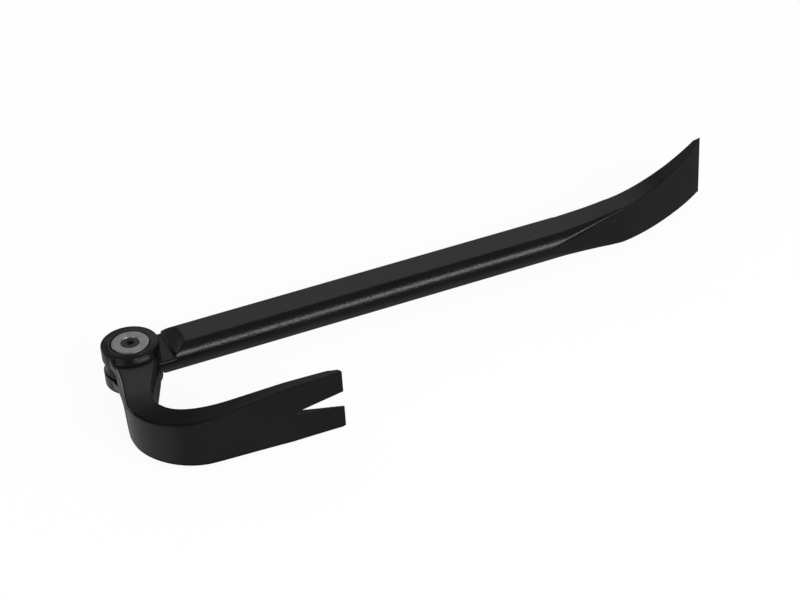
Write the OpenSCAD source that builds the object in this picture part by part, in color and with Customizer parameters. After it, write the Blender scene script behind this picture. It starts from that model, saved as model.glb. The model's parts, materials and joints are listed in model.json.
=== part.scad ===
// Adjustable pry bar, in millimetres. A forged bar with a chisel end carries a hooked nail claw on
// a clevis joint. A toothed lock hub joins the clevis to the bar's tongue every 15 degrees. A push
// button on the pivot axis slides the hub clear of the tongue, and a spring brings it back.
// The parts are drawn about the pivot axis, with z = 0 halfway through the bar. The bar runs along
// +X and the folded claw lies on its -Y side. set_down() then moves everything to the part's own
// origin, which is the middle of its bounding box, on the surface that the tool lies on.

/* [Bar] */
// Distance from the pivot axis to the chisel edge
tip_x = 438.4; // [420:0.1:460]
// How far the chisel edge stands off the bar's centre line
tip_y = 36.6; // [30:0.1:42]
// Half the width of the chisel edge
chisel_half_w = 22.5; // [20:0.1:26]
// Half the bar's height, between its two flats
bar_half_h = 9.5; // [8:0.1:10]
// Half the bar's width, across its rounded sides
bar_half_w = 16.6; // [16:0.1:17.5]
// Radius of the bar's rounded sides
side_r = 9.8; // [9.7:0.05:11]
// Distance from the pivot to the ledge where the tongue begins
ledge_x = 24.5; // [23:0.1:28]
// Distance from the pivot to the top of the ramp behind the ledge
ramp_x = 33.5; // [32:0.5:40]

/* [Claw] */
// Distance from the pivot to the claw's edge, along the bar
claw_x = 104.6; // [95:0.1:115]
// Distance from the bar's centre line to the outside of the claw's web
web_y = 103.2; // [95:0.1:115]
// How far the claw's back stands behind the pivot axis
back_x = 23; // [21:0.1:25]
// Half the width of the claw at its edge
claw_half_w = 21.4; // [18:0.1:22]
// Half the height of the claw's web at its back, where the bend begins
back_half_h = 14.8; // [14:0.1:15.5]
// Half the height of the shank between the ears and the bend
shank_half_h = 10.2; // [9.5:0.1:11]
// Length of the nail slot
slot_l = 31.5; // [25:0.5:36]
// Half the mouth of the nail slot
slot_half_w = 5.6; // [4:0.1:6.5]

/* [Joint] */
// Radius of the ears
ear_r = 18.6; // [18:0.05:18.8]
// How far the ears' centre stands behind the pivot axis
ear_back = 0.5; // [0:0.1:0.5]
// Half the height over the two ears
ear_half_h = 14; // [13.2:0.1:15]
// Thickness of the bar's tongue
tongue_t = 7.4; // [7:0.1:7.6]
// How far the tongue's middle lies under the bar's middle plane
tongue_drop = 0.5; // [0.3:0.1:0.6]
// Half the height of the slot between the ears
slot_half_h = 4.8; // [4.8:0.1:5.2]
// Number of teeth on the lock hub
teeth = 24; // [20:4:28]
// Radius over the hub's teeth
tooth_tip_r = 10.95; // [10.8:0.05:11.2]
// Radius at the foot of the hub's teeth
tooth_root_r = 9.75; // [9.7:0.05:9.9]
// Radius of the hub's plain neck
neck_r = 9.42; // [9.2:0.01:9.5]
// How far the push button travels
press = 3.4; // [3.2:0.1:3.5]
// Radius of the push button
button_r = 12.2; // [12:0.1:12.3]

/* [Hidden] */
$fn = 96;

black = "#2c2d2f";
steel = "#a9abae";
dark_steel = "#3a3b3d";

// Overlap for cuts that run past a face
past = 1;
// Running clearance on a radius
fit = 0.08;

// Bar: flats, shoulder and blade
side_c = bar_half_w - side_r;
blade_x = tip_x - 88.4;
ground_x = tip_x - 145.4;
flare_x = tip_x - 130.4;
// The bar's sides and half height where the blade begins
blade_near = 9.2;
blade_far = 8.3;
blade_half_h = 14;
ground_slope = (bar_half_w - blade_near) / (blade_x - ground_x);
edge_bevel = 5.9;
ledge_z = 5.2;

// Joint heights, measured from the bar's middle plane
tongue_high = tongue_t / 2 - tongue_drop;
tongue_low = -tongue_t / 2 - tongue_drop;
tongue_bore_z = -1;
hub_top = ear_half_h - 2.9;
hub_teeth_top = tongue_bore_z - 0.05;
hub_bottom = -7;
cap_z = hub_bottom - press - 0.1;
cap_t = 1;
ring_t = 1;
button_top = ear_half_h + 0.2;
button_floor = hub_top - press - 0.4;
ear_rim = 0.6;
spring_bore_r = 7;
spring_bore_top = -0.6;
cap_r = 12.9;
groove_r = 13.8;
washer_gap = 0.15;
button_gap = 0.7;

// Button screw: a countersunk M6 with a 4 mm hexagon socket
screw_r = 3;
screw_head_r = 6;
screw_l = 12;
screw_top = button_top - 0.2;
socket_r = 4 / 2 / cos(30);
socket_depth = 3;

// Return spring
wire_r = 0.6;
coil_r = 5.8;
coils = 4;
spring_play = 0.05;

// The part's bounding box about the pivot
mid_x = (tip_x - back_x) / 2;
mid_y = (tip_y - web_y) / 2;

function curve(a, b, c, d, n = 10) = [
    for (i = [0:n])
        let (t = i / n, u = 1 - t)
            a * pow(u, 3) + 3 * b * u * u * t + 3 * c * u * t * t + d * pow(t, 3)
];

function from(points, k) = [for (i = [k:len(points) - 1]) points[i]];

function mirrored(points) = [
    for (i = [len(points) - 1:-1:0]) [points[i].x, -points[i].y]
];

// One tooth is a trapezoid that is wider at its foot. grow is the clearance all round.
function spline_ring(grow = 0) = [
    for (k = [0:teeth - 1], corner = [[-0.29, 0], [-0.15, 1], [0.15, 1], [0.29, 0]])
        let (
            r = (corner[1] == 1 ? tooth_tip_r : tooth_root_r) + grow,
            spread = sign(corner[0]) * grow / r * 180 / PI,
            angle = (k + corner[0]) * 360 / teeth + spread
        )
            [r * cos(angle), r * sin(angle)]
];

module along_x(length) {
    rotate([90, 0, 90])
        linear_extrude(length)
            children();
}

module seen_from_side(depth) {
    rotate([90, 0, 0])
        linear_extrude(2 * depth, center = true)
            children();
}

module seen_from_end(depth) {
    rotate([90, 0, 90])
        linear_extrude(2 * depth, center = true)
            children();
}

module ring(r, hole_r, z, height) {
    translate([0, 0, z])
        difference() {
            cylinder(r = r, h = height);
            translate([0, 0, -past])
                cylinder(r = hole_r, h = height + 2 * past);
        }
}

module set_down() {
    translate([-mid_x, -mid_y, chisel_half_w])
        children();
}

// ---- Bar ----

// Two flats with a round side left and right.
module section(half_w, r, half_h) {
    intersection() {
        union() {
            for (side = [-1, 1])
                translate([side * (half_w - r), 0])
                    circle(r);
            square([2 * (half_w - r), 2 * r], center = true);
        }
        square([3 * half_w, 2 * half_h], center = true);
    }
}

// The bar's outline from above: its near side is ground flat towards the blade.
module shank_plan() {
    polygon([
        [-past, -bar_half_w - past],
        [ground_x, -bar_half_w],
        [blade_x, -blade_near],
        [blade_x, bar_half_w + past],
        [-past, bar_half_w + past]
    ]);
}

// The bar ends in a disc about the pivot. Its rim leans inwards towards the top.
module round_end() {
    low_r = 18.3;
    high_r = 16.8;
    translate([0, 0, tongue_low])
        cylinder(r1 = low_r, r2 = high_r, h = tongue_t);
}

// What is cut away over the tongue: flat to the ledge, then up a ramp.
module upper_cut() {
    slope = (bar_half_h - ledge_z) / (ramp_x - ledge_x);
    seen_from_side(2 * bar_half_w)
        polygon([
            [-2 * ear_r, tongue_high],
            [ledge_x, tongue_high],
            [ledge_x, ledge_z],
            [ramp_x + past, bar_half_h + slope * past],
            [ramp_x + past, 2 * bar_half_h],
            [-2 * ear_r, 2 * bar_half_h]
        ]);
}

// What is cut away under the tongue. Its round wall clears the lower ear and the shank.
module lower_cut() {
    wall_r = 22.3;
    off_axis = 1.2;
    translate([0, off_axis, tongue_low - 2 * bar_half_h])
        cylinder(r = wall_r, h = 2 * bar_half_h);
}

// A thin slice across the bar, ground flat on its near side and no wider than far on the other.
module slice(x, r, half_h, far) {
    near = bar_half_w - ground_slope * (x - ground_x);
    translate([x, 0, 0])
        along_x(0.01)
            intersection() {
                section(bar_half_w, r, half_h);
                translate([-near, -2 * half_h])
                    square([near + far, 4 * half_h]);
            }
}

// The bar flattens and flares into the blade.
module flare($fn = 32) {
    mid = (flare_x + blade_x) / 2;
    mid_half_h = bar_half_h + 1.7;
    hull() {
        slice(flare_x - 0.01, side_r, bar_half_h, bar_half_w);
        slice(mid, mid_half_h + 0.3, mid_half_h, blade_far + 3.7);
    }
    hull() {
        slice(mid, mid_half_h + 0.3, mid_half_h, blade_far + 3.7);
        translate([blade_x, -blade_near, -blade_half_h])
            cube([0.01, blade_near + blade_far, 2 * blade_half_h]);
    }
}

module blade() {
    near = curve([blade_x, -blade_near], [blade_x + 22, -blade_near + 2.9],
        [tip_x - 27.4, tip_y - 22.6], [tip_x, tip_y]);
    far = curve([tip_x - edge_bevel, tip_y - 0.2], [tip_x - 36.4, tip_y - 16.1],
        [blade_x + 22, blade_far + 2.7], [blade_x, blade_far]);
    top = curve([blade_x, blade_half_h], [blade_x + 22, blade_half_h + 0.6],
        [tip_x - 38.4, chisel_half_w - 5.7], [tip_x, chisel_half_w]);
    intersection() {
        linear_extrude(2 * chisel_half_w + past, center = true)
            polygon(concat(near, far));
        seen_from_side(web_y)
            polygon(concat(top, mirrored(top)));
    }
}

module bar() {
    color(black)
        difference() {
            union() {
                intersection() {
                    along_x(flare_x)
                        section(bar_half_w, side_r, bar_half_h);
                    linear_extrude(4 * bar_half_h, center = true)
                        shank_plan();
                }
                round_end();
                flare();
                blade();
            }
            upper_cut();
            lower_cut();
            translate([0, 0, tongue_bore_z])
                cylinder(r = neck_r + fit, h = tongue_t);
            translate([0, 0, tongue_low - past])
                linear_extrude(tongue_bore_z - tongue_low + past)
                    polygon(spline_ring(fit));
        }
}

// ---- Claw head ----

// The hook from above: ear, shank, bend and web, down to the claw's edge.
module hook_plan() {
    neck = [-17.3, -7];
    bend_out = [-back_x, -web_y + 41.2];
    web_out = [claw_x - 89.6, -web_y];
    edge = [claw_x, -web_y + 2];
    bend_in = [-4, -web_y + 33.2];
    web_in = [claw_x - 68.6, -web_y + 10.6];
    outside = concat(
        curve(neck, [-14, -24], [-back_x + 2.5, -web_y + 61.2], bend_out),
        from(curve(bend_out, [-back_x, -web_y + 16.2], [claw_x - 111.6, -web_y], web_out), 1),
        from(curve(web_out, [claw_x - 74.6, -web_y], [claw_x - 54.6, -web_y + 2.2], edge), 1)
    );
    inside = concat(
        [[claw_x - 2.4, -web_y + 5], [claw_x - 7.4, -web_y + 6.7]],
        curve(web_in, [claw_x - 94.6, -web_y + 11.5], [-4, -web_y + 20.6], bend_in),
        from(curve(bend_in, [-4, -web_y + 52.3], [9, -34], [16, -9]), 1)
    );
    translate([-ear_back, 0])
        circle(ear_r);
    polygon(concat(outside, inside, [[0, 0]]));
}

// Height of the web, which widens from the bend to the claw's edge.
module web_side() {
    top = [[-2 * back_x, back_half_h], [-back_x, back_half_h], [claw_x - 35.6, claw_half_w - 0.6],
        [claw_x, claw_half_w], [claw_x + past, claw_half_w]];
    polygon(concat(top, mirrored(top)));
}

// Height of the shank, which is waisted between the ears and the bend.
module shank_end() {
    top = concat(
        [[-web_y - past, claw_half_w], [-web_y + 20, claw_half_w]],
        curve([-web_y + 32, shank_half_h + 4.1], [-web_y + 46, shank_half_h + 1.8],
            [-45, shank_half_h - 0.2], [-22, shank_half_h]),
        [[ear_r + past, shank_half_h]]
    );
    polygon(concat(top, mirrored(top)));
}

// Where the raised ears run out into the shank.
module ear_flare() {
    top_r = ear_r + 0.1;
    waist_r = ear_r + 1.6;
    foot_r = ear_r + 4.5;
    rise = 1;
    translate([-ear_back, 0, 0])
        rotate_extrude()
            polygon([
                [0, -ear_half_h],
                [top_r, -ear_half_h + ear_rim],
                [waist_r, -shank_half_h - rise],
                [foot_r, -shank_half_h],
                [foot_r, shank_half_h],
                [waist_r, shank_half_h + rise],
                [top_r, ear_half_h - ear_rim],
                [0, ear_half_h]
            ]);
}

// Two round ears with chamfered rims.
module ears() {
    translate([-ear_back, 0, 0])
        rotate_extrude()
            polygon([
                [0, -ear_half_h],
                [ear_r - ear_rim, -ear_half_h],
                [ear_r, -ear_half_h + ear_rim],
                [ear_r, ear_half_h - ear_rim],
                [ear_r - ear_rim, ear_half_h],
                [0, ear_half_h]
            ]);
}

// The outline of a V that opens at the claw's edge, drawn at a distance from the centre line.
module slot_v(y, depth, longer = 0, wider = 0) {
    half = slot_half_w + wider;
    translate([claw_x, -y, 0])
        seen_from_side(depth)
            polygon([
                [-slot_l - longer, 0.5],
                [0, half],
                [past, half],
                [past, -half],
                [0, -half],
                [-slot_l - longer, -0.5]
            ]);
}

// The nail slot is wider on the inside of the web, so that it grips under a nail's head.
module nail_slot() {
    outside_y = web_y - 1.3;
    slot_v(outside_y + 4, 4);
    hull() {
        slot_v(outside_y, 0.01);
        slot_v(outside_y - 9, 0.01, 12, 6);
    }
}

// The slot between the ears. Its floor clears the disc at the end of the bar.
module clevis_slot() {
    floor_y = 18.8;
    linear_extrude(2 * slot_half_h, center = true)
        translate([-3 * ear_r, -floor_y])
            square([6 * ear_r, 4 * ear_r]);
}

module lock_bores() {
    translate([0, 0, slot_half_h - past])
        cylinder(r = neck_r + fit, h = ear_half_h);
    translate([0, 0, button_floor])
        cylinder(r = button_r + button_gap, h = ear_half_h);
    translate([0, 0, cap_z - past])
        linear_extrude(ear_half_h)
            polygon(spline_ring(fit));
    translate([0, 0, -ear_half_h - past])
        cylinder(r = cap_r + 0.1, h = ear_half_h + past + cap_z);
    translate([0, 0, cap_z - cap_t - ring_t - 0.05])
        cylinder(r = groove_r, h = ring_t + 0.05);
}

module claw_head() {
    color(black)
        difference() {
            union() {
                ears();
                intersection() {
                    linear_extrude(2 * claw_half_w + past, center = true)
                        hook_plan();
                    seen_from_side(2 * web_y)
                        web_side();
                    union() {
                        seen_from_end(2 * claw_x)
                            shank_end();
                        ear_flare();
                    }
                }
            }
            clevis_slot();
            lock_bores();
            nail_slot();
        }
}

// ---- Lock ----

module lock_hub() {
    color(dark_steel)
        difference() {
            union() {
                translate([0, 0, hub_bottom])
                    linear_extrude(hub_teeth_top - hub_bottom)
                        polygon(spline_ring());
                translate([0, 0, hub_teeth_top])
                    cylinder(r = neck_r, h = hub_top - hub_teeth_top);
            }
            translate([0, 0, hub_bottom - past])
                cylinder(r = spring_bore_r, h = spring_bore_top - hub_bottom + past);
            translate([0, 0, screw_top - screw_l - past])
                cylinder(r = screw_r, h = screw_l);
        }
}

module push_button() {
    rim = 0.4;
    color(steel)
        difference() {
            rotate_extrude()
                polygon([
                    [0, hub_top],
                    [button_r, hub_top],
                    [button_r, button_top - rim],
                    [button_r - rim, button_top],
                    [0, button_top]
                ]);
            translate([0, 0, hub_top - past])
                cylinder(r = screw_r + 0.2, h = button_top);
            translate([0, 0, screw_top - screw_head_r + screw_r])
                cylinder(r1 = screw_r, r2 = screw_head_r, h = screw_head_r - screw_r);
            translate([0, 0, screw_top])
                cylinder(r = screw_head_r, h = past);
        }
}

module button_screw() {
    head_h = screw_head_r - screw_r;
    color(black)
        difference() {
            union() {
                translate([0, 0, screw_top - screw_l])
                    cylinder(r = screw_r - 0.02, h = screw_l - past);
                translate([0, 0, screw_top - head_h - 0.03])
                    cylinder(r1 = screw_r - 0.05, r2 = screw_head_r - 0.05, h = head_h);
            }
            translate([0, 0, screw_top - socket_depth])
                cylinder(r = socket_r, h = socket_depth + past, $fn = 6);
        }
}

// A round wire wound to a helix between the end cap and the hub.
module return_spring() {
    rings_per_coil = 20;
    sides = 8;
    rings = coils * rings_per_coil;
    low = cap_z + wire_r + spring_play;
    high = spring_bore_top - wire_r - spring_play;
    points = [
        for (i = [0:rings], k = [0:sides - 1])
            let (
                turn = 360 * i / rings_per_coil,
                around = 360 * k / sides,
                r = coil_r + wire_r * cos(around),
                z = low + (high - low) * i / rings + wire_r * sin(around)
            )
                [r * cos(turn), r * sin(turn), z]
    ];
    walls = [
        for (i = [0:rings - 1], k = [0:sides - 1])
            let (a = i * sides + k, b = i * sides + (k + 1) % sides)
                each [[a, b, b + sides], [a, b + sides, a + sides]]
    ];
    first = [for (k = [sides - 1:-1:0]) k];
    last = [for (k = [0:sides - 1]) rings * sides + k];
    color(steel)
        polyhedron(points, concat(walls, [first, last]), convexity = 6);
}

module end_cap() {
    color(dark_steel)
        translate([0, 0, cap_z - cap_t])
            cylinder(r = cap_r, h = cap_t);
}

// An internal spring ring with an opening and two lugs for the pliers.
module retaining_ring() {
    outer_r = groove_r - 0.1;
    inner_r = outer_r - 2;
    lug_r = 1.7;
    lug_at = inner_r - 0.3;
    lug_angle = 14;
    color(dark_steel)
        translate([0, 0, cap_z - cap_t - ring_t])
            linear_extrude(ring_t)
                difference() {
                    union() {
                        difference() {
                            circle(outer_r);
                            circle(inner_r);
                            polygon([[0, 0], 2 * outer_r * [cos(lug_angle), -sin(lug_angle)],
                                2 * outer_r * [cos(lug_angle), sin(lug_angle)]]);
                        }
                        for (side = [-1, 1])
                            rotate(side * (lug_angle + 8))
                                translate([lug_at, 0])
                                    circle(lug_r);
                    }
                    for (side = [-1, 1])
                        rotate(side * (lug_angle + 8))
                            translate([lug_at - 0.2, 0])
                                circle(0.8);
                }
}

// A thrust washer that fills the room between an ear and the tongue.
module side_washer(low, high) {
    color(steel)
        ring(side_c + 8.4, tooth_tip_r + 0.8, low, high - low);
}

module upper_washer() {
    side_washer(tongue_high + washer_gap, slot_half_h);
}

module lower_washer() {
    side_washer(-slot_half_h, tongue_low - washer_gap);
}

set_down() bar();
set_down() claw_head();
set_down() lock_hub();
set_down() push_button();
set_down() button_screw();
set_down() return_spring();
set_down() end_cap();
set_down() retaining_ring();
set_down() upper_washer();
set_down() lower_washer();
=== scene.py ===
"""An adjustable pry bar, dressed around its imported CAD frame.

Shapes are worked out in millimetres about the pivot axis, with z = 0 in the bar's middle plane.
to_row() turns them into metres in the row frame. The long forgings are lofts whose rings follow nearly the
same curves as the CAD parts, with the rounded edges that forging leaves. Cuts through them are booleans.
"""

import json
import math

import bmesh
import bpy
import numpy as np
from mathutils import Matrix, Vector


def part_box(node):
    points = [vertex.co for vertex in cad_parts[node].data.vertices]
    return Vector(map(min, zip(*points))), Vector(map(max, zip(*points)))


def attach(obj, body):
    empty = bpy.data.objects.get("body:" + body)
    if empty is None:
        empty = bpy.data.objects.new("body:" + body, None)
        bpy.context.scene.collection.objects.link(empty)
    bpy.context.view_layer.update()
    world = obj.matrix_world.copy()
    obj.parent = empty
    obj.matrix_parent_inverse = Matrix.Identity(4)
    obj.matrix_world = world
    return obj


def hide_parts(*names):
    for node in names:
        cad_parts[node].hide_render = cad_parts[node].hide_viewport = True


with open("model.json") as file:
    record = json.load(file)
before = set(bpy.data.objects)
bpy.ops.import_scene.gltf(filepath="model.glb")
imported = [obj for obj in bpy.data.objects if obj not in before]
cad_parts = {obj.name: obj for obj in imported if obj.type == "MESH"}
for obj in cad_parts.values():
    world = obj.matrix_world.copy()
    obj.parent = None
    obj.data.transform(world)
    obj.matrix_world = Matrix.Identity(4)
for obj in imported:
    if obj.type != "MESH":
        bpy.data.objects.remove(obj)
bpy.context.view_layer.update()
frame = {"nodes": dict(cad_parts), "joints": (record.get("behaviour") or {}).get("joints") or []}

MM = 0.001
PIVOT = np.array(next(j["pos_m"] for j in frame["joints"] if j["name"] == "head_pivot"))


def local_box(node):
    """A CAD node's corners in millimetres about the pivot."""
    low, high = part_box(node)
    return (np.array(low) - PIVOT) / MM, (np.array(high) - PIVOT) / MM


bar_low, bar_high = local_box("bar")
head_low, head_high = local_box("claw_head")
button_low, button_high = local_box("push_button")
screw_high = local_box("button_screw")[1]

# ---- Driving dimensions, mm ----
# The bar has a flat top and bottom and round sides, whose radius SIDE_R is centred SIDE_C from the middle. At one
# end a tongue, a ledge and a ramp step up to the flat. Past GROUND_X and FAR_GROUND_X the near and the far side
# are ground flat, and at BLADE_X they curve up into the blade, which ends in a bevelled edge.
TIP_X, TIP_Y, TIP_HALF_W = bar_high
BAR_HALF_W, BAR_HALF_H = 16.6, 9.5
SIDE_R = 9.8
SIDE_C = BAR_HALF_W - SIDE_R
LEDGE_X, LEDGE_Z = 24.5, 5.2
RAMP_X, RAMP_R = 33.5, 50.0
SETTLE_X = RAMP_X + 7
TONGUE_LOW, TONGUE_HIGH = -4.2, 3.2
GROUND_X = TIP_X - 145.4
FAR_GROUND_X = TIP_X - 130.4
BLADE_X = TIP_X - 88.4
BLADE_NEAR, BLADE_FAR, BLADE_HALF_H = -9.2, 8.3, 14.0
BLADE_CREASE_H = 13.6
EDGE_BEVEL = 5.9
EDGE_RISE = 0.2

# The claw head has two ears, a shank, a bend and a web that ends in two claws.
BACK_X, WEB_Y = head_low[0], head_low[1]
CLAW_X, CLAW_HALF_W = head_high[0], head_high[2]
CLAW_CORNER_R = 1.3
EAR_R, EAR_BACK = head_high[1], 0.5
EAR_Z, EAR_HALF_H = 4.8, 14.0
EAR_RIM_R, EAR_FOOT = 0.7, 3.8
BACK_HALF_H = 14.2
SHANK_HALF_H = 10.2
SHANK_BULGE, BEND_BULGE = 3.3, 0.25
SHANK_END, BEND_START = 42.0, 86.0
SLOT_L, SLOT_HALF_W, SLOT_APEX = 31.5, 5.6, 0.5

# The joint is the button, its screw and the bores that they and the lock sit in.
BUTTON_R, BUTTON_TOP = button_high[0], button_high[2]
BUTTON_RIM, BUTTON_GAP = 0.3, 0.7
SEAT_DEPTH = 6.7
SCREW_R, SCREW_TOP = screw_high[0], screw_high[2]
THREAD_R, SCREW_L, SCREW_HEAD_H = 3.0, 12.0, 3.0
HEX_ACROSS, HEX_DEPTH = 4.0, 3.0
TEETH, TOOTH_GAP = 24, 0.08
NECK_R = 9.5
CAP_R, CAP_Z = 13.0, -10.5
GROOVE_R, GROOVE_TOP, GROOVE_W = 13.8, CAP_Z - 1, 1.05

SHARP_ANGLE = math.radians(32)


# ---- Curves and meshes ----
def bezier(a, b, c, d, n):
    t = np.linspace(0, 1, n)[:, None]
    a, b, c, d = (np.array(p, float) for p in (a, b, c, d))
    return a * (1 - t) ** 3 + 3 * b * t * (1 - t) ** 2 + 3 * c * t * t * (1 - t) + d * t ** 3


def straight(a, b, n):
    t = np.linspace(0, 1, n)[:, None]
    return np.array(a) * (1 - t) + np.array(b) * t


def to_row(points):
    """Millimetres about the pivot to metres in the row frame."""
    return np.asarray(points, float) * MM + PIVOT


def smooth_min(a, b, soft):
    """The smaller of a and b, with the change from one to the other rounded over soft."""
    h = np.clip(0.5 + 0.5 * (b - a) / soft, 0, 1)
    return b * (1 - h) + a * h - soft * h * (1 - h)


def smooth_max(a, b, soft):
    return -smooth_min(-a, -b, soft)


def blur(values, x, width):
    """Gaussian average of samples at uneven places x."""
    weight = np.exp(-0.5 * ((x[:, None] - x[None, :]) / width) ** 2)
    weight *= np.gradient(x)[None, :]
    return (weight @ values) / weight.sum(1)


def new_object(name, points, faces):
    mesh = bpy.data.meshes.new(name)
    mesh.from_pydata(to_row(points).tolist(), [], faces)
    mesh.validate()
    obj = bpy.data.objects.new(name, mesh)
    bpy.context.scene.collection.objects.link(obj)
    return obj


def outward(obj):
    """Turns every face's normal outward."""
    bm = bmesh.new()
    bm.from_mesh(obj.data)
    bmesh.ops.recalc_face_normals(bm, faces=bm.faces)
    bm.to_mesh(obj.data)
    bm.free()
    return obj


def loft(name, rings, marks=None):
    """A closed skin through equal rings of points, flat at both ends. marks names values at the points."""
    rows, columns = rings.shape[:2]
    number = np.arange(rows * columns).reshape(rows, columns)
    here, there = number[:-1], number[1:]
    quads = np.stack([here, np.roll(here, -1, 1), np.roll(there, -1, 1), there], -1).reshape(-1, 4)
    faces = quads.tolist() + [number[0][::-1].tolist(), number[-1].tolist()]
    obj = new_object(name, rings.reshape(-1, 3), faces)
    for mark, values in (marks or {}).items():
        layer = obj.data.attributes.new(mark, "FLOAT", "POINT")
        layer.data.foreach_set("value", values.astype(np.float32).ravel())
    return outward(obj)


def weld(obj):
    """Joins points that coincide, and removes the faces that this leaves without an area."""
    same_place = 1e-7
    bm = bmesh.new()
    bm.from_mesh(obj.data)
    bmesh.ops.remove_doubles(bm, verts=bm.verts, dist=same_place)
    bmesh.ops.dissolve_degenerate(bm, edges=bm.edges, dist=same_place)
    bm.to_mesh(obj.data)
    bm.free()


def lathe(name, profile, steps=128, shape=None, centre=(0, 0)):
    """A solid of revolution. shape(ring, radius, angle) may make a ring other than round."""
    angle = np.linspace(0, 2 * math.pi, steps, endpoint=False)
    rings = []
    for i, (r, z) in enumerate(profile):
        radius = np.full(steps, r) if shape is None else shape(i, r, angle)
        rings.append(np.stack([centre[0] + radius * np.cos(angle), centre[1] + radius * np.sin(angle),
                               np.full(steps, z)], -1))
    return loft(name, np.array(rings))


def prism(name, outline, low, high):
    """An outline in plan, raised from low to high."""
    outline = np.asarray(outline, float)
    return loft(name, np.array([np.column_stack([outline, np.full(len(outline), z)]) for z in (low, high)]))


def combine(target, tool, operation):
    """Joins or cuts with an exact boolean, and removes the tool."""
    change = target.modifiers.new("combine", "BOOLEAN")
    change.operation = operation
    change.solver = "EXACT"
    change.object = tool
    graph = bpy.context.evaluated_depsgraph_get()
    result = bpy.data.meshes.new_from_object(target.evaluated_get(graph))
    target.modifiers.clear()
    old = target.data
    target.data = result
    bpy.data.meshes.remove(old)
    bpy.data.objects.remove(tool)
    return target


def finish_shading(obj):
    """Smooth faces that stay crisp where they meet at more than SHARP_ANGLE."""
    weld(obj)
    obj.data.shade_smooth()
    obj.data.set_sharp_from_angle(angle=SHARP_ANGLE)


# ---- Bar ----
def side_arc(y0, z0, y1, z1, n):
    """n points up to but not including the end, on an arc of the bar's side radius that bulges outward."""
    tiny = 1e-9
    dy, dz = y1 - y0, z1 - z0
    chord = np.hypot(dy, dz)
    half = np.arcsin(np.clip(chord / 2 / SIDE_R, 0, 0.99))
    t = np.arange(n)[:, None] / n
    turn = half * (2 * t - 1)
    along = 0.5 + np.sin(turn) / np.maximum(2 * np.sin(half), tiny)
    bulge = SIDE_R * (np.cos(turn) - np.cos(half)) / np.maximum(chord, tiny)
    side = np.where(y1 > y0, 1, -1)
    return y0 + dy * along - side * dz * bulge, z0 + dz * along + side * dy * bulge


def bar_stations():
    """Where the bar's sections are taken: closer together where the shape changes."""
    margin = 6
    return np.unique(np.concatenate([
        np.linspace(1, LEDGE_X - 0.02, 14),
        np.linspace(LEDGE_X, RAMP_X, 20),
        np.linspace(RAMP_X, SETTLE_X, 6),
        np.arange(SETTLE_X, GROUND_X - margin, 1.5),
        np.arange(GROUND_X - margin, GROUND_X + margin, 0.4),
        np.arange(GROUND_X + margin, BLADE_X + margin, 0.8),
        np.arange(BLADE_X + margin, TIP_X - EDGE_BEVEL, 1.0),
        np.linspace(TIP_X - EDGE_BEVEL, TIP_X - 0.25, 10),
    ]))


def crease_height(x, start):
    """How high the ground face reaches: it opens like a parabola, then follows the flare."""
    reach = np.clip((x - start) / (BLADE_X - 1 - start), 0, 1)
    return BLADE_CREASE_H * np.sqrt(reach) * (0.86 + 0.14 * reach ** 3)


def blade_curves():
    """The blade's near side and far side in plan, and half its height, along X."""
    lead, steps = 22, 200
    near = bezier((BLADE_X, BLADE_NEAR), (BLADE_X + lead, BLADE_NEAR + 2.9),
                  (TIP_X - 27.4, TIP_Y - 22.6), (TIP_X, TIP_Y), steps)
    far = bezier((BLADE_X, BLADE_FAR), (BLADE_X + lead, BLADE_FAR + 2.7),
                 (TIP_X - 36.4, TIP_Y - 16.1), (TIP_X - EDGE_BEVEL, TIP_Y - EDGE_RISE), steps)
    top = bezier((BLADE_X, BLADE_HALF_H), (BLADE_X + lead, BLADE_HALF_H + 0.6),
                 (TIP_X - 38.4, TIP_HALF_W - 5.7), (TIP_X, TIP_HALF_W), steps)
    return near, far, top


def far_side(x, far_curve):
    """The far side in plan: straight, then a soft shoulder, the blade, and the bevel of its edge."""
    shoulder_x, shoulder_y, soft = FAR_GROUND_X + 17, 12.6, 3.5
    bevel_x = TIP_X - EDGE_BEVEL
    far = np.interp(x, [FAR_GROUND_X - 4, shoulder_x, BLADE_X], [BAR_HALF_W, shoulder_y, BLADE_FAR])
    far = np.where(x > BLADE_X, np.interp(x, *far_curve.T), far)
    softened = blur(far, x, soft)
    far = np.where((x > FAR_GROUND_X - 20) & (x < bevel_x - EDGE_BEVEL), softened, far)
    return np.where(x > bevel_x, np.interp(x, [bevel_x, TIP_X], [TIP_Y - EDGE_RISE, TIP_Y]), far)


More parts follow.
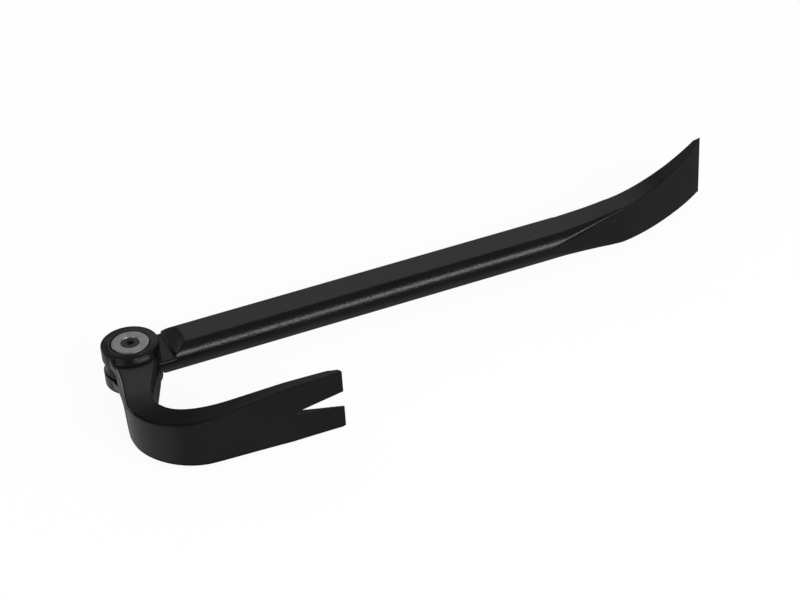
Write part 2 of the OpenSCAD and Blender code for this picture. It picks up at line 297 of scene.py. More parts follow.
def bar_section_rows(x):
    """Half heights, faces and edges of the bar at each station."""
    near_curve, far_curve, top_curve = blade_curves()
    near = np.interp(x, [GROUND_X, BLADE_X], [-BAR_HALF_W, BLADE_NEAR])
    near = np.where(x > BLADE_X, np.interp(x, *near_curve.T), near)
    far = far_side(x, far_curve)
    flare_x, flare_h = GROUND_X + 36, 11.3
    height = np.interp(x, [GROUND_X + 14, flare_x, BLADE_X], [BAR_HALF_H, flare_h, BLADE_HALF_H])
    height = np.where(x > BLADE_X, np.interp(x, *top_curve.T), height)
    height = np.where(x < TIP_X - 20, blur(height, x, 3.0), height)
    corner_r, tip_corner_r = 0.9, 0.45
    corner = np.minimum(np.interp(x, [BLADE_X, BLADE_X + 30], [corner_r, tip_corner_r]), 0.28 * (far - near))
    flat_edge = SIDE_C + math.sqrt(SIDE_R ** 2 - BAR_HALF_H ** 2)
    to_blade = np.clip((x - GROUND_X) / (BLADE_X - GROUND_X), 0, 1)
    near_edge = np.where(x > BLADE_X, near + corner,
                         -flat_edge + to_blade * (BLADE_NEAR + corner_r + flat_edge))
    far_edge = np.where(x > BLADE_X, far - corner,
                        np.minimum(flat_edge + to_blade * (BLADE_FAR - corner_r - flat_edge), far - corner))
    near_crease, far_crease = (
        np.where(x > BLADE_X, height - corner, np.minimum(crease_height(x, start), height - corner))
        for start in (GROUND_X, FAR_GROUND_X))
    return near, far, height, near_edge, far_edge, near_crease, far_crease


def face_part(x, face, crease, start, n):
    """The lower part of a side, from the middle plane up to its crease: round, then ground flat."""
    least, most, opening = 0.3, 4.0, 0.4
    is_round = x < start
    top = np.where(is_round, np.minimum(most, least + opening * np.maximum(start - x, 0)),
                   np.maximum(crease, least))
    z = np.arange(n)[:, None] / n * top
    arc_y = SIDE_C + np.sqrt(np.maximum(SIDE_R ** 2 - z ** 2, 0))
    y = np.where(is_round, np.sign(face) * arc_y, face)
    top_arc_y = SIDE_C + np.sqrt(SIDE_R ** 2 - np.minimum(top, most + 1) ** 2)
    return y, z, np.where(is_round, np.sign(face) * top_arc_y, face), top


def soften_crease(y, z, x, crease):
    """Rounds the section where the ground face meets the round side. crease is the column at the corner."""
    width, rounds = 6, 10
    share = np.clip((x - GROUND_X) / 8, 0, 1) * np.clip((BLADE_X + 4 - x) / 20, 0, 1)
    first, after = crease - width, crease + width + 1
    for _ in range(rounds):
        for values in (y, z):
            middle = (values[:, first - 1:after - 1] + values[:, first + 1:after + 1]) / 2
            part = values[:, first:after]
            part += 0.5 * share[:, None] * (middle - part)


def ramp_front(y):
    """Where the ramp reaches the flat: an arc across the bar."""
    return RAMP_X - RAMP_R + np.sqrt(RAMP_R ** 2 - np.clip(y, -BAR_HALF_W, BAR_HALF_W) ** 2)


def lower_tongue(stations, y, z):
    """Bends the stations to the ramp's front, and lowers the top to the ramp and the tongue."""
    ramp_soft, tongue_soft = 0.25, 2.2
    front = ramp_front(y)
    on_ramp = (stations - LEDGE_X) / (RAMP_X - LEDGE_X)
    along = np.where(stations <= RAMP_X, LEDGE_X + on_ramp * (front - LEDGE_X),
                     front + (SETTLE_X - front) * (stations - RAMP_X) / (SETTLE_X - RAMP_X))
    place = np.where((stations < SETTLE_X) & (stations >= LEDGE_X), along, stations)
    ramp = LEDGE_Z + (BAR_HALF_H - LEDGE_Z) * on_ramp
    lowered = np.where(stations < RAMP_X, smooth_min(z, ramp, ramp_soft), z)
    lowered = np.where(stations < LEDGE_X, smooth_min(z, TONGUE_HIGH, tongue_soft), lowered)
    return place, lowered


def bar_peel(x, height, z, on_side, near_middle):
    """How much orange peel the sides have: less towards the grinding, and none where the bar was ground."""
    slope = np.clip((height[:, None] - z) / 0.9, 0, 1) * on_side
    ground = np.clip((x[:, None] - GROUND_X) / 4, 0, 1) * near_middle
    fade = 1 - 0.55 * np.clip((x[:, None] - GROUND_X + 60) / 60, 0, 1)
    past_ramp = np.clip((x[:, None] - RAMP_X - 2) / 6, 0, 1)
    return slope * (1 - ground) * fade * past_ramp


def bar_dullness(x, height, rings):
    """How dull the bar is: most where its top and bottom were drawn out to the blade, half on the tongue."""
    drawn = np.interp(x, [BLADE_X - 30, BLADE_X, BLADE_X + 20, BLADE_X + 38, TIP_X - 10, TIP_X],
                      [0, 0.2, 0.65, 1, 0.8, 0.6])
    flat = abs(rings[..., 2]) > height[:, None] - 0.2
    milled = (x[:, None] < LEDGE_X + 1) & (rings[..., 2] > 0)
    return np.maximum(drawn[:, None] * flat, 0.45 * milled)


def bar_body():
    """The whole bar as one loft along X: round sides, ramp, ledge and blade."""
    x = bar_stations()
    near, far, height, near_edge, far_edge, near_crease, far_crease = bar_section_rows(x)
    lower, corner, across = 12, 14, 22
    near_y, near_z, near_top_y, near_top = face_part(x, near, near_crease, GROUND_X, lower)
    far_y, far_z, far_top_y, far_top = face_part(x, far, far_crease, FAR_GROUND_X, lower)
    near_arc = side_arc(near_top_y, near_top, near_edge, height, corner)
    far_arc = side_arc(far_top_y, far_top, far_edge, height, corner)
    t = np.arange(across + 1)[:, None] / across
    flat_y = near_edge + (far_edge - near_edge) * t
    y = np.concatenate([near_y, near_arc[0], flat_y, far_arc[0][:0:-1], far_top_y[None], far_y[::-1]]).T
    flat_z = height + 0 * t
    z = np.concatenate([near_z, near_arc[1], flat_z, far_arc[1][:0:-1], far_top[None], far_z[::-1]]).T
    columns = y.shape[1]
    for column in (lower, columns - 1 - lower):
        soften_crease(y, z, x, column)
    stations = np.repeat(x[:, None], columns, 1)
    place, lowered = lower_tongue(stations, y, z)
    upper = np.stack([place, y, lowered], -1)
    below = np.stack([stations, y, -z], -1)[:, -2:0:-1]
    rings = np.concatenate([upper, below], 1)
    column = np.arange(columns)
    on_side = (column < lower + corner) | (column > lower + corner + across)
    near_middle = (column < lower) | (column >= columns - lower)
    peel = bar_peel(x, height, z, on_side, near_middle)
    peel = np.concatenate([peel, peel[:, -2:0:-1]], 1)
    return loft("bar_forging", rings, {"peel": peel, "dull": bar_dullness(x, height, rings)})


def tooth_outline():
    """The lock's teeth as they are cut in the tongue and the lower ear, with TOOTH_GAP all round."""
    root_r, crest_r, root_share, crest_share = 9.75, 10.95, 0.29, 0.15
    corners = ((-root_share, root_r), (-crest_share, crest_r), (crest_share, crest_r), (root_share, root_r))
    points = []
    for k in range(TEETH):
        for share, r in corners:
            angle = (k + share) * 2 * math.pi / TEETH + math.copysign(TOOTH_GAP / r, share)
            points.append(((r + TOOTH_GAP) * math.cos(angle), (r + TOOTH_GAP) * math.sin(angle)))
    return points


def tongue_disc():
    """The round end of the tongue. Its rim leans inwards towards the top."""
    low_r, high_r, soft = -bar_low[0], 16.8, 0.5
    rise = TONGUE_HIGH - TONGUE_LOW
    lean = (low_r - high_r) / rise
    profile = [(low_r - 0.3, TONGUE_LOW), (low_r - 0.06, TONGUE_LOW + 0.3)]
    profile += [(low_r - lean * z, TONGUE_LOW + z) for z in (0.8, rise - soft - 0.6, rise - soft)]
    profile += [(high_r - 0.15, TONGUE_HIGH - 0.2), (high_r - soft, TONGUE_HIGH)]
    return lathe("tongue_disc", profile, 160)


def under_tongue():
    """What is milled away under the tongue, with a round wall that clears the lower ear and the shank."""
    wall_r, off_axis = 22.3, 1.2
    profile = [(wall_r, -2 * EAR_HALF_H), (wall_r, TONGUE_LOW)]
    return lathe("under_tongue", profile, 160, centre=(0, off_axis))


def make_bar():
    tooth_top = -0.9
    bar = combine(bar_body(), under_tongue(), "DIFFERENCE")
    combine(bar, tongue_disc(), "UNION")
    combine(bar, lathe("neck_bore", [(NECK_R, -1), (NECK_R, BAR_HALF_H - 0.5)], 96), "DIFFERENCE")
    combine(bar, prism("tooth_bore", tooth_outline(), -9, tooth_top), "DIFFERENCE")
    finish_shading(bar)
    return bar


# ---- Claw head ----
def web_outside(steps):
    """The web's outer face in plan, from the end of the bend to the claws' edge."""
    return bezier((CLAW_X - 89.6, WEB_Y), (CLAW_X - 74.6, WEB_Y), (CLAW_X - 54.6, WEB_Y + 2.2),
                  (CLAW_X, WEB_Y + 2), steps)


def hook_sides():
    """Matching points along the outside and the inside of the hook, in plan."""
    shank, bend, web, bevel = 130, 80, 70, 10
    neck_out, neck_in = (-17.3, -7), (16, -9)
    outer_web = web_outside(web)
    bend_out, bend_in = (BACK_X, WEB_Y + 41.2), (-4, WEB_Y + 33.2)
    web_in = (CLAW_X - 68.6, WEB_Y + 10.6)
    bevel_in, edge_in = (CLAW_X - 7.4, WEB_Y + 6.7), (CLAW_X - 2.4, WEB_Y + 5)
    outside = np.concatenate([
        [(-9, 3), (-14, -3)],
        bezier(neck_out, (-14, -24), (BACK_X + 2.5, WEB_Y + 61.2), bend_out, shank)[:-1],
        bezier(bend_out, (BACK_X, WEB_Y + 17.6), (CLAW_X - 108.2, WEB_Y + 0.5), outer_web[0], bend)[:-1],
        outer_web,
    ])
    inside = np.concatenate([
        [(9, 3), (13, -3)],
        bezier(neck_in, (9.6, -34), (-3.6, WEB_Y + 52.3), bend_in, shank)[:-1],
        bezier(bend_in, (-4, WEB_Y + 21.6), (CLAW_X - 94.6, WEB_Y + 12.2), web_in, bend)[:-1],
        straight(web_in, bevel_in, web - bevel + 1)[:-1],
        straight(bevel_in, edge_in, bevel),
    ])
    return outside, inside


def head_half_height(x, y):
    """Half the height of the hook over a point in plan."""
    claw_start = CLAW_X - 35.6
    web = np.interp(x, [BACK_X, claw_start, CLAW_X], [BACK_HALF_H, CLAW_HALF_W - 0.6, CLAW_HALF_W])
    into = np.clip((x - (CLAW_X - CLAW_CORNER_R)) / CLAW_CORNER_R, 0, 1)
    web = web - CLAW_CORNER_R * (1 - np.sqrt(1 - into ** 2)) * 0.8
    waist = bezier((WEB_Y + 32, SHANK_HALF_H + 4.1), (WEB_Y + 46, SHANK_HALF_H + 1.8),
                   (-45, SHANK_HALF_H - 0.2), (-22, SHANK_HALF_H), 60)
    lower = np.array([(WEB_Y - 1, CLAW_HALF_W + 8), (WEB_Y + 20, CLAW_HALF_W + 1)])
    shank = np.interp(y, *np.concatenate([lower, waist]).T)
    height = smooth_min(web, shank, 1.0)
    return smooth_max(height, ear_foot(from_ear(x, y)), 0.5)


def from_ear(x, y):
    """Distance in plan from the middle of the ears."""
    return np.hypot(x + EAR_BACK, y)


def ear_foot(r):
    """The slope where an ear's rim runs out into the shank."""
    t = np.clip((EAR_R + EAR_FOOT - r) / EAR_FOOT, 0, 1.1)
    return np.minimum(SHANK_HALF_H - 1.2 + 4.4 * t ** 1.3, EAR_HALF_H - 0.5)


def hook_rounding(run):
    """How far the inner side bulges, and the radii of the outer and inner edges, along the hook."""
    end = run[-1]
    bend_share = np.clip((run - SHANK_END) / (BEND_START - SHANK_END), 0, 1)
    bend_share = bend_share * bend_share * (3 - 2 * bend_share)
    bulge = SHANK_BULGE + (BEND_BULGE - SHANK_BULGE) * bend_share
    out_r = np.interp(run, [0, 55, 85, 125, end - 45, end], [2.6, 2.6, 0.9, 0.7, 0.6, 0.5])
    shank_in_r, bend_in_r = 0.9, 0.5
    in_r = shank_in_r + (bend_in_r - shank_in_r) * bend_share
    fade = 8
    end_share = np.clip((run - end + fade) / fade, 0, 1)
    return bulge, out_r * (1 - 0.75 * end_share), in_r * (1 - 0.7 * end_share)


def hook_section(run, width, centre_h):
    """The hook's upper half from outside to inside: how far across, and the share of the height."""
    bulge, out_r, in_r = hook_rounding(run)
    wall, corner, top = 10, 8, 40
    across, share = [], []
    for k in range(wall):
        across.append(0 * width)
        share.append((1 - out_r / centre_h) * k / wall)
    for k in range(corner + 1):
        angle = math.pi / 2 * k / corner
        across.append(out_r * (1 - math.cos(angle)))
        share.append(1 - out_r / centre_h * (1 - math.sin(angle)))
    top_start, top_end = out_r, width - bulge - in_r
    for k in range(1, top):
        across.append(top_start + (top_end - top_start) * k / top)
        share.append(0 * width + 1)
    for k in range(corner + 1):
        angle = math.pi / 2 * k / corner
        lean = 0.35 * bulge * in_r / 8 * k / corner
        across.append(width - bulge - in_r * (1 - math.sin(angle)) + lean)
        share.append(1 - in_r / centre_h * (1 - math.cos(angle)))
    last_across, last_share = across[-1], share[-1]
    for k in range(1, wall + 1):
        height = last_share * (1 - k / wall)
        swell = np.sqrt(np.maximum(1 - (height / last_share) ** 2 * 0.999, 0)) ** 1.1
        across.append(last_across + (width - last_across) * swell)
        share.append(height)
    return np.array(across).T, np.array(share).T


def hook_dullness(run, plan, share):
    """How dull the hook's top and bottom are: most in the bend, and some at the ears' foot."""
    bend = np.interp(run, [52, 68, 80, 93, 105, 120, 140, 160, 180, run[-1]],
                     [0, 0.5, 0.85, 1, 1, 0.85, 0.75, 0.4, 0.4, 0.2])
    foot = 0.6 * np.clip((EAR_R + 6 - from_ear(plan[..., 0], plan[..., 1])) / 2.5, 0, 1)
    return np.maximum(bend[:, None], foot) * (share > 0.9)


def hook_body():
    """Shank, bend and web as one loft along the hook."""
    outside, inside = hook_sides()
    width = np.linalg.norm(inside - outside, axis=1)
    direction = (inside - outside) / width[:, None]
    middle = (inside + outside) / 2
    run = np.concatenate([[0], np.cumsum(np.linalg.norm(np.diff(middle, axis=0), axis=1))])
    across, share = hook_section(run, width, head_half_height(*middle.T))
    plan = outside[:, None, :] + direction[:, None, :] * across[:, :, None]
    z = share * head_half_height(plan[..., 0], plan[..., 1])
    upper = np.concatenate([plan, z[..., None]], -1)
    below = upper[:, -2:0:-1] * [1, 1, -1]
    dull = hook_dullness(run, plan, share)
    dull = np.concatenate([dull, dull[:, -2:0:-1]], 1)
    return loft("hook", np.concatenate([upper, below], 1), {"dull": dull})


def ears():
    """Both ears as one disc, which the clevis cut parts."""
    turns = [math.pi / 2 * k / 4 for k in range(5)]
    side = [(EAR_R - EAR_RIM_R * (1 - math.sin(a)), EAR_HALF_H - EAR_RIM_R * (1 - math.cos(a)))
            for a in turns]
    profile = [(r, -z) for r, z in side] + [(r, z) for r, z in reversed(side)]
    return lathe("ears", profile, 160, centre=(-EAR_BACK, 0))


def clevis_cut():
    floor_y, reach = -18.8, 3 * EAR_R
    outline = [(-reach, floor_y), (reach, floor_y), (reach, reach), (-reach, reach)]
    return prism("clevis_cut", outline, -EAR_Z, EAR_Z)


def slot_cut():
    """A V that flares from the outside of the web, where it is narrowest, towards the inside."""
    outer = web_outside(80)
    steps, past_edge = 14, 4
    rings = []
    for depth, longer, wider in ((-4, 0, 0), (0.3, 0, 0), (9, 12, 6), (14, 12, 6)):
        t = np.linspace(1, 0, steps)
        x = CLAW_X - t * (SLOT_L + longer)
        half = SLOT_APEX + (1 - t) * (SLOT_HALF_W + wider - SLOT_APEX)
        x, half = np.append(x, CLAW_X + past_edge), np.append(half, half[-1] + 0.4)
        y = np.interp(x, *outer.T) + depth
        leg = np.column_stack([x, y, half])
        rings.append(np.concatenate([leg, leg[::-1] * [1, 1, -1]]))
    return loft("slot_cut", np.array(rings))


def button_bore():
    """The hub's bore, the button's counterbore, and the bevel at its mouth."""
    counterbore, mouth = BUTTON_R + BUTTON_GAP, 0.5
    floor = EAR_HALF_H - SEAT_DEPTH
    return lathe("button_bore", [
        (NECK_R, 0), (NECK_R, floor), (counterbore, floor), (counterbore, EAR_HALF_H - 0.35),
        (counterbore + mouth, EAR_HALF_H + 0.15), (counterbore + mouth, EAR_HALF_H + 3)])


def cap_bore():
    """The end cap's bore from below, with the groove that holds the spring ring."""
    groove_low = GROOVE_TOP - GROOVE_W
    return lathe("cap_bore", [
        (CAP_R, -EAR_HALF_H - 3), (CAP_R, groove_low), (GROOVE_R, groove_low), (GROOVE_R, GROOVE_TOP),
        (CAP_R, GROOVE_TOP), (CAP_R, CAP_Z)])


def make_head():
    head = combine(hook_body(), ears(), "UNION")
    tooth_bore = prism("tooth_bore", tooth_outline(), -12, -3)
    for cutter in (clevis_cut(), slot_cut(), button_bore(), tooth_bore, cap_bore()):
        combine(head, cutter, "DIFFERENCE")
    finish_shading(head)
    return head


# ---- Button and screw ----
def make_button():
    """A shallow dish with a rounded rim, countersunk for the screw."""
    hole_r, floor = 3.2, button_low[2]
    sink_r = SCREW_R + 0.25
    rim_z = BUTTON_TOP - 0.1
    bevel = 0.3
    profile = [(hole_r, floor), (BUTTON_R - bevel, floor), (BUTTON_R, floor + bevel),
               (BUTTON_R, rim_z - BUTTON_RIM)]
    profile += [(BUTTON_R - BUTTON_RIM * (1 - math.cos(a)), rim_z - BUTTON_RIM * (1 - math.sin(a)))
                for a in (0.4, 0.8, 1.2, math.pi / 2)]
    dish = ((BUTTON_R - 0.9, 0), (BUTTON_R - 1.6, 0), (9.6, 0.02), (8.0, 0.04), (sink_r + 0.3, 0.05),
            (sink_r + 0.08, 0.08), (sink_r, 0.2), (hole_r, 3.4))
    profile += [(r, BUTTON_TOP - depth) for r, depth in dish]
    return ring_lathe("button_face", profile)


def ring_lathe(name, profile):
    """A turned ring: its profile closes on itself round the hole."""
    steps = 128
    angle = np.linspace(0, 2 * math.pi, steps, endpoint=False)
    r, z = np.array(profile).T
    points = np.stack([r[:, None] * np.cos(angle), r[:, None] * np.sin(angle), z[:, None] + 0 * angle], -1)
    rows = len(profile)
    number = np.arange(rows * steps).reshape(rows, steps)
    there = np.roll(number, -1, 0)
    quads = np.stack([number, np.roll(number, -1, 1), np.roll(there, -1, 1), there], -1).reshape(-1, 4)
    obj = outward(new_object(name, points.reshape(-1, 3), quads.tolist()))
    finish_shading(obj)
    return obj


def make_screw():
    """A countersunk screw with a hexagon socket."""
    rim, tip_bevel = 0.25, 0.4
    low = SCREW_TOP - SCREW_L
    outside = [(THREAD_R - tip_bevel, low), (THREAD_R, low + tip_bevel),
               (THREAD_R, SCREW_TOP - SCREW_HEAD_H), (SCREW_R, SCREW_TOP - rim - 0.1),
               (SCREW_R, SCREW_TOP - rim), (SCREW_R - rim, SCREW_TOP)]
    apothem = HEX_ACROSS / 2
    socket = [(4.6, SCREW_TOP), (3.2, SCREW_TOP), (2.75, SCREW_TOP - 0.03), (apothem, SCREW_TOP - 0.35),
              (apothem, SCREW_TOP - HEX_DEPTH), (0.3, SCREW_TOP - HEX_DEPTH - 0.9)]
    hexagon = range(len(outside) + 3, len(outside) + 5)

    def shape(i, r, angle):
        if i not in hexagon:
            return np.full(len(angle), r)
        sector = np.mod(angle, math.pi / 3) - math.pi / 6
        return r / np.cos(sector)

    screw = lathe("screw", outside + socket, 96, shape)
    finish_shading(screw)
    return screw


# ---- Materials ----
class Nodes:
    """Short calls for building a material's nodes."""

    def __init__(self, name):
        self.material = bpy.data.materials.new(name)
        self.material.use_nodes = True
        self.tree = self.material.node_tree
        self.shader = self.tree.nodes["Principled BSDF"]
        self.place = self.tree.nodes.new("ShaderNodeTexCoord").outputs["Object"]

    def link(self, source, target):
        self.tree.links.new(source, target)

    def add(self, kind, inputs, **settings):
        node = self.tree.nodes.new(kind)
        for key, value in settings.items():
            setattr(node, key, value)
        for key, value in inputs.items():
            if isinstance(value, bpy.types.NodeSocket):
                self.link(value, node.inputs[key])
            else:
                node.inputs[key].default_value = value
        return node

    def noise(self, size_mm, detail=3.0, rough=0.55, stretch=(1, 1, 1)):
        place = self.place
        if stretch != (1, 1, 1):
            scaled = self.add("ShaderNodeVectorMath", {0: self.place, 1: stretch}, operation="MULTIPLY")
            place = scaled.outputs[0]
        return self.add("ShaderNodeTexNoise", {"Vector": place, "Scale": 1 / (size_mm * MM),
                                               "Detail": detail, "Roughness": rough}).outputs["Fac"]

    def scale(self, value, low, high, start=0.0, end=1.0):
        return self.add("ShaderNodeMapRange", {"Value": value, "From Min": start, "From Max": end,
                                               "To Min": low, "To Max": high}).outputs["Result"]

    def times(self, a, b):
        return self.add("ShaderNodeMath", {0: a, 1: b}, operation="MULTIPLY").outputs[0]

    def colour_mix(self, share, a, b):
        node = self.tree.nodes.new("ShaderNodeMix")
        node.data_type = "RGBA"
        for socket, value in ((node.inputs[0], share), (node.inputs[6], a), (node.inputs[7], b)):
            if isinstance(value, bpy.types.NodeSocket):
                self.link(value, socket)
            else:
                socket.default_value = value
        return node.outputs[2]

    def bump(self, height, depth_mm, normal):
        return self.add("ShaderNodeBump", {"Height": height, "Distance": depth_mm * MM, "Strength": 1.0,
                                           "Normal": normal}).outputs["Normal"]

    def rounded(self, radius_mm):
        return self.add("ShaderNodeBevel", {"Radius": radius_mm * MM}, samples=6).outputs["Normal"]

    def edge_wear(self, rounded):
        """1 along sharp outer and inner edges, 0 elsewhere."""
        true_normal = self.add("ShaderNodeNewGeometry", {}).outputs["Normal"]
        same = self.add("ShaderNodeVectorMath", {0: rounded, 1: true_normal}, operation="DOT_PRODUCT")
        return self.scale(same.outputs["Value"], 1.0, 0.0, 0.75, 0.99)

    def set(self, **values):
        for key, value in values.items():
            socket = self.shader.inputs[key.replace("_", " ")]
            if isinstance(value, bpy.types.NodeSocket):
                self.link(value, socket)
            else:
                socket.default_value = value


def grey(value, tint=0.0):
    return (value, value, value * (1 + tint), 1.0)


def forged_black(name, peel_mark):
    """Satin black finish over a forging: fine grain, orange peel where it wasn't ground, and rubbed edges.

    It is duller where the forging was drawn out by the hammer.
    """
    n = Nodes(name)
    edge_normal = n.rounded(0.35)
    wear = n.edge_wear(edge_normal)
    cloud = n.noise(38, 4, 0.6)
    grain = n.noise(0.55, 3, 0.6)
    speck = n.scale(n.noise(1.1, 2, 0.5), 0, 1, 0.62, 0.8)
    base = n.colour_mix(n.scale(cloud, 0, 1, 0.35, 0.65), grey(0.0034, 0.05), grey(0.0058, 0.05))
    base = n.colour_mix(n.times(speck, 0.35), base, grey(0.012))
    rubbed = n.times(wear, n.scale(grain, 0.2, 0.9, 0.35, 0.6))
    base = n.colour_mix(rubbed, base, grey(0.045))
    normal = n.bump(grain, 0.012, edge_normal)
    normal = n.bump(n.noise(6.0, 2, 0.5), 0.05, normal)
    if peel_mark:
        mark = n.add("ShaderNodeAttribute", {}, attribute_name="peel").outputs["Fac"]
        peel = n.noise(1.5, 2.0, 0.5, (0.8, 1, 1))
        normal = n.bump(n.times(peel, mark), 0.16, normal)
    n.set(Base_Color=base, Roughness=n.scale(grain, 0.23, 0.31, 0.3, 0.7), Normal=normal)
    drawn = n.add("ShaderNodeAttribute", {}, attribute_name="dull").outputs["Fac"]
    n.set(Specular_IOR_Level=n.scale(drawn, 0.4, 0.1))
    return n.material


def turned_steel(name, colour, rough, edge=0.12):
    """Satin steel with fine turning marks about the pivot axis."""
    n = Nodes(name)
    centred = n.add("ShaderNodeVectorMath", {0: n.place, 1: tuple(PIVOT)}, operation="SUBTRACT").outputs[0]
    flat = n.add("ShaderNodeVectorMath", {0: centred, 1: (1, 1, 0)}, operation="MULTIPLY").outputs[0]
    radius = n.add("ShaderNodeVectorMath", {0: flat}, operation="LENGTH").outputs["Value"]
    rings = n.add("ShaderNodeTexNoise", {"W": n.times(radius, 1 / (0.22 * MM)), "Detail": 2.0,
                                         "Scale": 1.0}, noise_dimensions="1D").outputs["Fac"]
    grain = n.noise(0.35, 3, 0.6)
    blotch = n.noise(5, 3, 0.6)
    base = n.colour_mix(n.scale(blotch, 0, 1, 0.35, 0.65), grey(colour * 0.86), grey(colour))
    normal = n.bump(rings, 0.006, n.rounded(edge))
    normal = n.bump(grain, 0.008, normal)
    n.set(Base_Color=base, Metallic=1.0, Roughness=n.scale(grain, rough - 0.05, rough + 0.07, 0.3, 0.7),
          Normal=normal)
    return n.material


def oxide_black(name):
    """Black oxide on a small part: darker in the grain, rubbed at the edges."""
    n = Nodes(name)
    edge_normal = n.rounded(0.15)
    grain = n.noise(0.3, 3, 0.6)
    blotch = n.noise(3.0, 3, 0.6)
    wear = n.edge_wear(edge_normal)
    base = n.colour_mix(n.scale(blotch, 0, 1, 0.35, 0.65), grey(0.010), grey(0.02))
    base = n.colour_mix(n.times(wear, 0.6), base, grey(0.07))
    n.set(Base_Color=base, Roughness=n.scale(grain, 0.3, 0.42, 0.3, 0.7),
          Normal=n.bump(grain, 0.006, edge_normal))
    return n.material


def dress(obj, material):
    obj.data.materials.clear()
    obj.data.materials.append(material)


# ---- Stage ----
# The camera looks at AIM from AZIMUTH round the object and ELEVATION above the floor. DISTANCE is in metres,
# and SENSOR and LENS are in millimetres.
AIM = to_row((178.761, -19.666, 0.52))
AZIMUTH, ELEVATION, ROLL = map(math.radians, (21.882, 34.385, -3.578))
DISTANCE = 1.40876
SENSOR, LENS = 36.0, 96.21

# Grey levels of the surroundings by the height of the direction: -1 is straight down, 1 is straight up.
FRONT_SKY = [(-1, 0.36), (-0.85, 0.36), (-0.55, 0.25), (-0.33, 0.13), (0, 0.15), (0.6, 0.2), (1, 0.2)]
BACK_SKY = [(-1, 0.16), (-0.55, 0.08), (-0.3, 0.2), (0, 0.18), (0.4, 0.15), (0.7, 0.2), (1, 0.2)]
LEFT_SKY = [(-1, 0.3), (-0.55, 0.52), (-0.3, 0.5), (0, 0.3), (0.3, 0.15), (1, 0.2)]


def make_camera():
    level = Vector((math.cos(AZIMUTH), -math.sin(AZIMUTH), 0))
    forward = Vector((math.sin(AZIMUTH), math.cos(AZIMUTH), 0))
    up = Vector((0, 0, 1))
    look = forward * math.cos(ELEVATION) - up * math.sin(ELEVATION)
    rise = forward * math.sin(ELEVATION) + up * math.cos(ELEVATION)
    right = level * math.cos(ROLL) + rise * math.sin(ROLL)
    top = rise * math.cos(ROLL) - level * math.sin(ROLL)
    camera = bpy.data.objects.new("camera", bpy.data.cameras.new("camera"))
    bpy.context.scene.collection.objects.link(camera)
    turn = Matrix((right, top, -look)).transposed().to_4x4()
    camera.matrix_world = Matrix.Translation(Vector(AIM) - look * DISTANCE) @ turn
    camera.data.sensor_width, camera.data.lens = SENSOR, LENS
    camera.data.clip_start, camera.data.clip_end = 0.05, 50
    bpy.context.scene.camera = camera


def softbox(name, azimuth, elevation, distance, width, height, radiance):
    """An area light that faces the object. Azimuth 0 is the near side, -Y, and 90 the chisel's side, +X."""
    a, e = math.radians(azimuth), math.radians(elevation)
    away = Vector((math.sin(a) * math.cos(e), -math.cos(a) * math.cos(e), math.sin(e)))
    data = bpy.data.lights.new(name, "AREA")
    data.shape = "RECTANGLE"
    data.size, data.size_y = width, height
    data.energy = radiance * width * height * math.pi
    light = bpy.data.objects.new(name, data)
    bpy.context.scene.collection.objects.link(light)
    light.rotation_mode = "QUATERNION"
    light.rotation_quaternion = away.to_track_quat("Z", "Y")
    light.location = away * distance


def make_floor():
    """A pale floor, which glossy surfaces don't reflect: they see the world's dark floor instead."""
    half = 4.0
    floor = bpy.data.objects.new("floor", bpy.data.meshes.new("floor"))
    floor.data.from_pydata([(-half, -half, 0), (half, -half, 0), (half, half, 0), (-half, half, 0)], [],
                           [(0, 1, 2, 3)])
    bpy.context.scene.collection.objects.link(floor)
    n = Nodes("pale_floor")
    tone = n.colour_mix(n.noise(300), grey(0.10), grey(0.12))
    n.set(Base_Color=tone, Roughness=0.9, Emission_Color=grey(1.0), Emission_Strength=0.93)
    floor.data.materials.append(n.material)
    floor.visible_glossy = False


def sky_ramp(tree, height, stops):
    """A colour ramp over the height, which runs from 0 straight down to 1 straight up."""
    ramp = tree.nodes.new("ShaderNodeValToRGB")
    tree.links.new(height, ramp.inputs["Fac"])
    elements = ramp.color_ramp.elements
    for element, (h, g) in ((elements[0], stops[0]), (elements[1], stops[-1])):
        element.position = (h + 1) / 2
        element.color = grey(g)
    for h, g in stops[1:-1]:
        elements.new((h + 1) / 2).color = grey(g)
    return ramp.outputs["Color"]


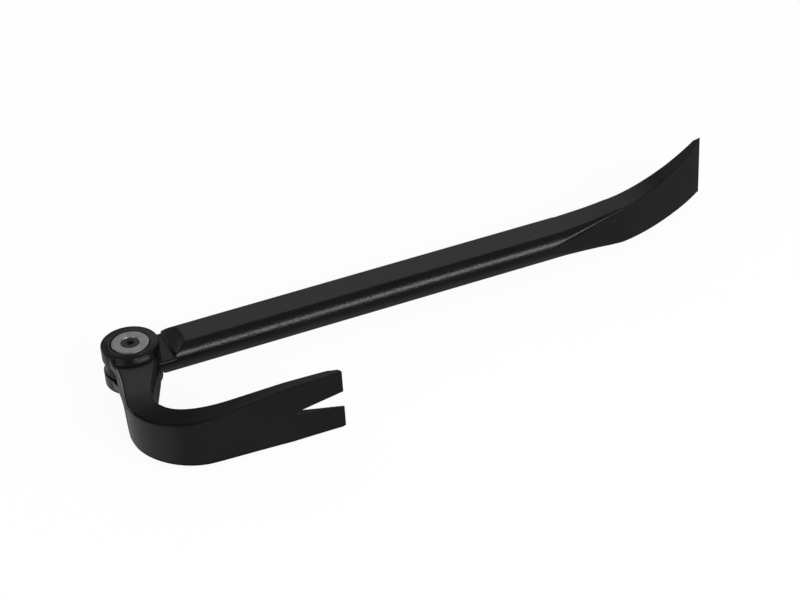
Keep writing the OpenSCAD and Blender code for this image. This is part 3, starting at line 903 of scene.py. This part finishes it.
def make_world():
    """Soft grey surroundings: a dim room whose floor is dark behind the object and bright to its left."""
    world = bpy.data.worlds.new("studio")
    bpy.context.scene.world = world
    world.use_nodes = True
    tree = world.node_tree
    place = tree.nodes.new("ShaderNodeTexCoord")
    split = tree.nodes.new("ShaderNodeSeparateXYZ")
    tree.links.new(place.outputs["Generated"], split.inputs[0])
    height = tree.nodes.new("ShaderNodeMapRange")
    height.inputs["From Min"].default_value = -1
    tree.links.new(split.outputs["Z"], height.inputs["Value"])
    colour, back, left = (sky_ramp(tree, height.outputs["Result"], stops)
                          for stops in (FRONT_SKY, BACK_SKY, LEFT_SKY))
    for side, toward, start, end in ((back, (0, 1, 0), -0.35, 0.3), (left, (-1, 0.4, 0), 0.25, 0.6)):
        dot = tree.nodes.new("ShaderNodeVectorMath")
        dot.operation = "DOT_PRODUCT"
        dot.inputs[1].default_value = toward
        tree.links.new(place.outputs["Generated"], dot.inputs[0])
        share = tree.nodes.new("ShaderNodeMapRange")
        share.interpolation_type = "SMOOTHSTEP"
        share.inputs["From Min"].default_value = start
        share.inputs["From Max"].default_value = end
        tree.links.new(dot.outputs["Value"], share.inputs["Value"])
        both = tree.nodes.new("ShaderNodeMix")
        both.data_type = "RGBA"
        for socket, source in ((both.inputs[0], share.outputs["Result"]), (both.inputs[6], colour),
                               (both.inputs[7], side)):
            tree.links.new(source, socket)
        colour = both.outputs[2]
    background = tree.nodes["Background"]
    tree.links.new(colour, background.inputs["Color"])
    background.inputs["Strength"].default_value = 1.0


def make_lights():
    softbox("back_panel", azimuth=152.5, elevation=34, distance=6.0, width=4.4, height=2.1, radiance=0.44)
    softbox("front_strip", azimuth=19, elevation=29, distance=1.7, width=1.6, height=0.55, radiance=5.6)
    softbox("left_panel", azimuth=-70, elevation=35, distance=1.6, width=0.8, height=0.8, radiance=1.2)
    softbox("back_left", azimuth=217, elevation=12, distance=1.6, width=0.5, height=0.5, radiance=3.0)


# ---- Assembly ----
black_bar = forged_black("bar_finish", True)
black_head = forged_black("head_finish", False)
satin = turned_steel("button_steel", 0.48, 0.34)
oxide = oxide_black("screw_oxide")
hub_steel = turned_steel("hub_steel", 0.16, 0.38)
spring_steel = turned_steel("spring_wire", 0.45, 0.3, 0.05)

PIECES = [
    (make_bar(), "pry_bar", "bar", "bar", black_bar, "forged_black"),
    (make_head(), "claw", "head", "claw_head", black_head, "forged_black"),
    (make_button(), "button", "lock", "push_button", satin, "satin_steel"),
    (make_screw(), "socket_screw", "lock", "button_screw", oxide, "black_oxide"),
]
for piece, name, body, node, material, slot in PIECES:
    piece.name = piece.data.name = name
    dress(piece, material)
    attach(piece, body)
    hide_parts(node)

KEPT = {"lock_hub": hub_steel, "return_spring": spring_steel, "end_cap": oxide, "retaining_ring": oxide,
        "upper_washer": hub_steel, "lower_washer": hub_steel}
for node, material in KEPT.items():
    dress(frame["nodes"][node], material)

make_floor()
make_world()
make_lights()
make_camera()
bpy.context.scene.view_settings.view_transform = "Standard"
